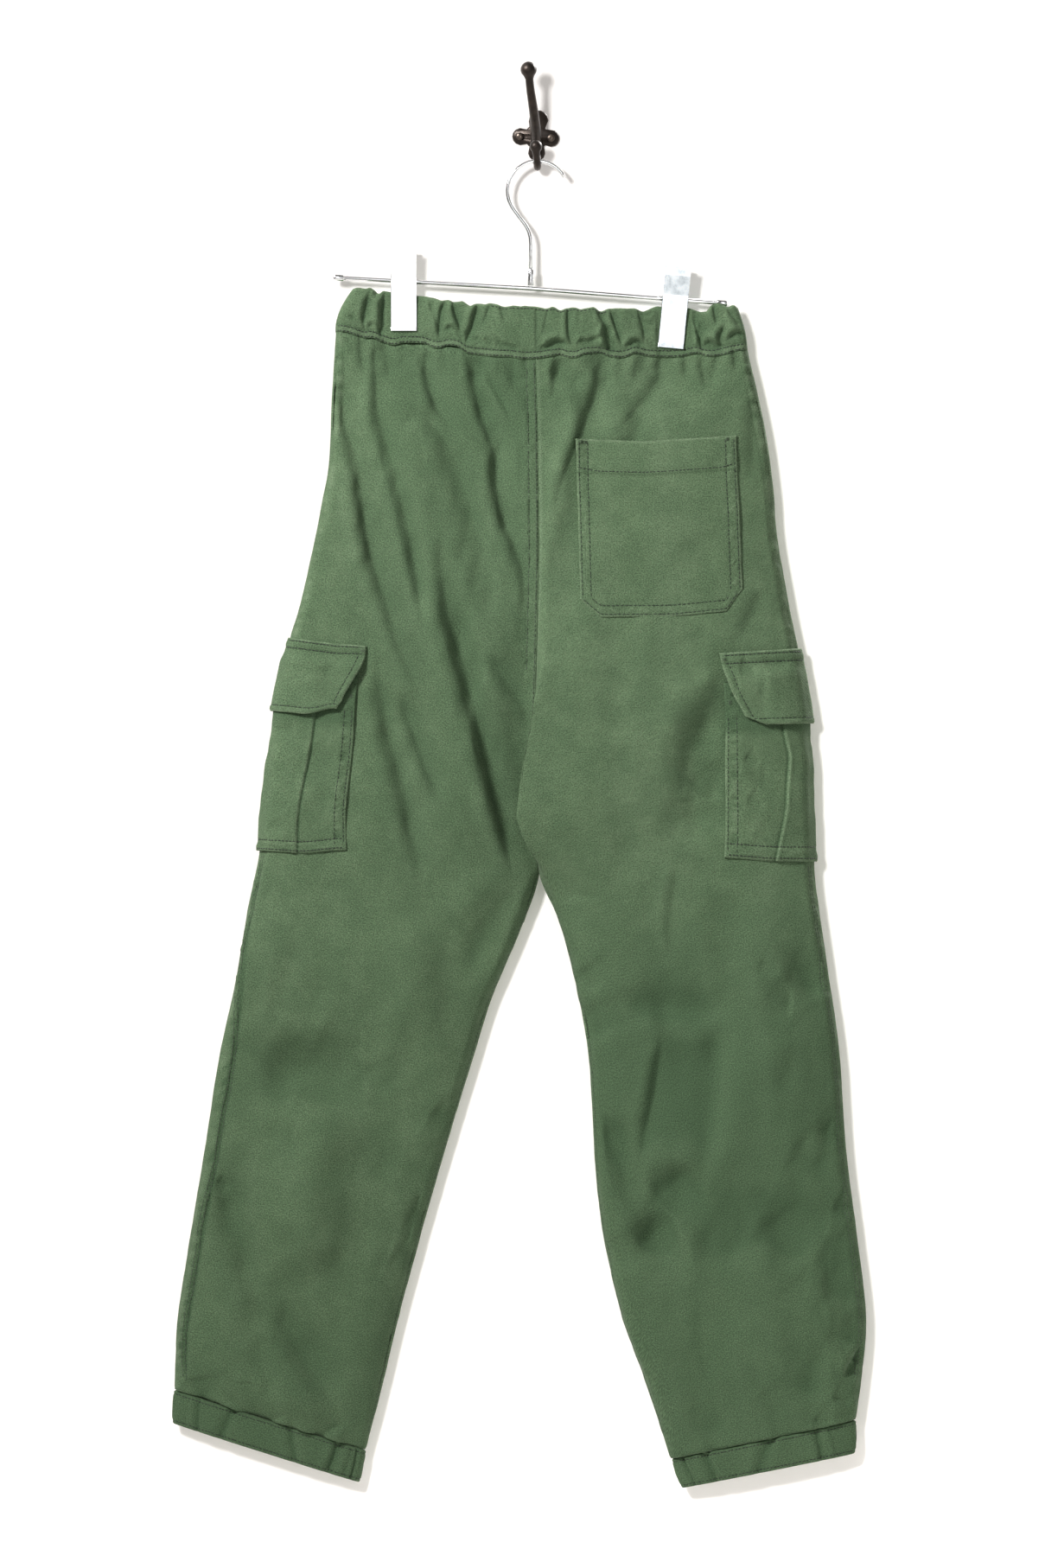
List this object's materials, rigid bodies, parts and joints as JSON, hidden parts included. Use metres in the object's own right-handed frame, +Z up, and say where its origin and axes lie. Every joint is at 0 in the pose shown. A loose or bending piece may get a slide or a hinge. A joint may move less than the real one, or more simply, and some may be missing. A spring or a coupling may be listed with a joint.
{
  "type": "cargo trousers on a clip hanger with a wall hook",
  "caption": "Cargo trousers with gathered elastic waist and hems, flapped side pockets and a back patch pocket, hanging flat from a clip hanger on a cast wall hook.",
  "frame": {"origin": "centre of the flat back of the wall hook's plate, which is screwed to a wall", "axes": "+Z up along the garment's length, +Y into the wall and square to the plate, +X to the right for someone who faces the wall and sees the garment's back"},
  "size_m": [0.5622, 0.0615, 1.154],
  "materials": {
    "olive_twill": "washed cotton twill, matt, with a slight sheen along the folds",
    "hanger_chrome": "polished",
    "hook_iron": "dark bronze-brown, smooth casting",
    "screw_steel": "dull, darkened"
  },
  "bodies": {
    "root": {"panel_back_left": "olive_twill", "panel_back_right": "olive_twill", "panel_front_left": "olive_twill", "panel_front_right": "olive_twill", "waistband_back": "olive_twill", "waistband_front": "olive_twill", "cuff_left": "olive_twill", "cuff_right": "olive_twill", "pocket_back": "olive_twill", "cargo_bag_left": "olive_twill", "cargo_bag_right": "olive_twill", "cargo_flap_left": "olive_twill", "cargo_flap_right": "olive_twill", "hanger_hook": "hanger_chrome", "hanger_ferrule": "hanger_chrome", "hanger_rail": "hanger_chrome", "hanger_cap_left": "hanger_chrome", "hanger_cap_right": "hanger_chrome", "clip_left_back": "hanger_chrome", "clip_left_front": "hanger_chrome", "clip_left_spring": "hanger_chrome", "clip_right_back": "hanger_chrome", "clip_right_front": "hanger_chrome", "clip_right_spring": "hanger_chrome", "wall_hook": "hook_iron", "screw_left": "screw_steel", "screw_right": "screw_steel"}
  },
  "joints": []
}
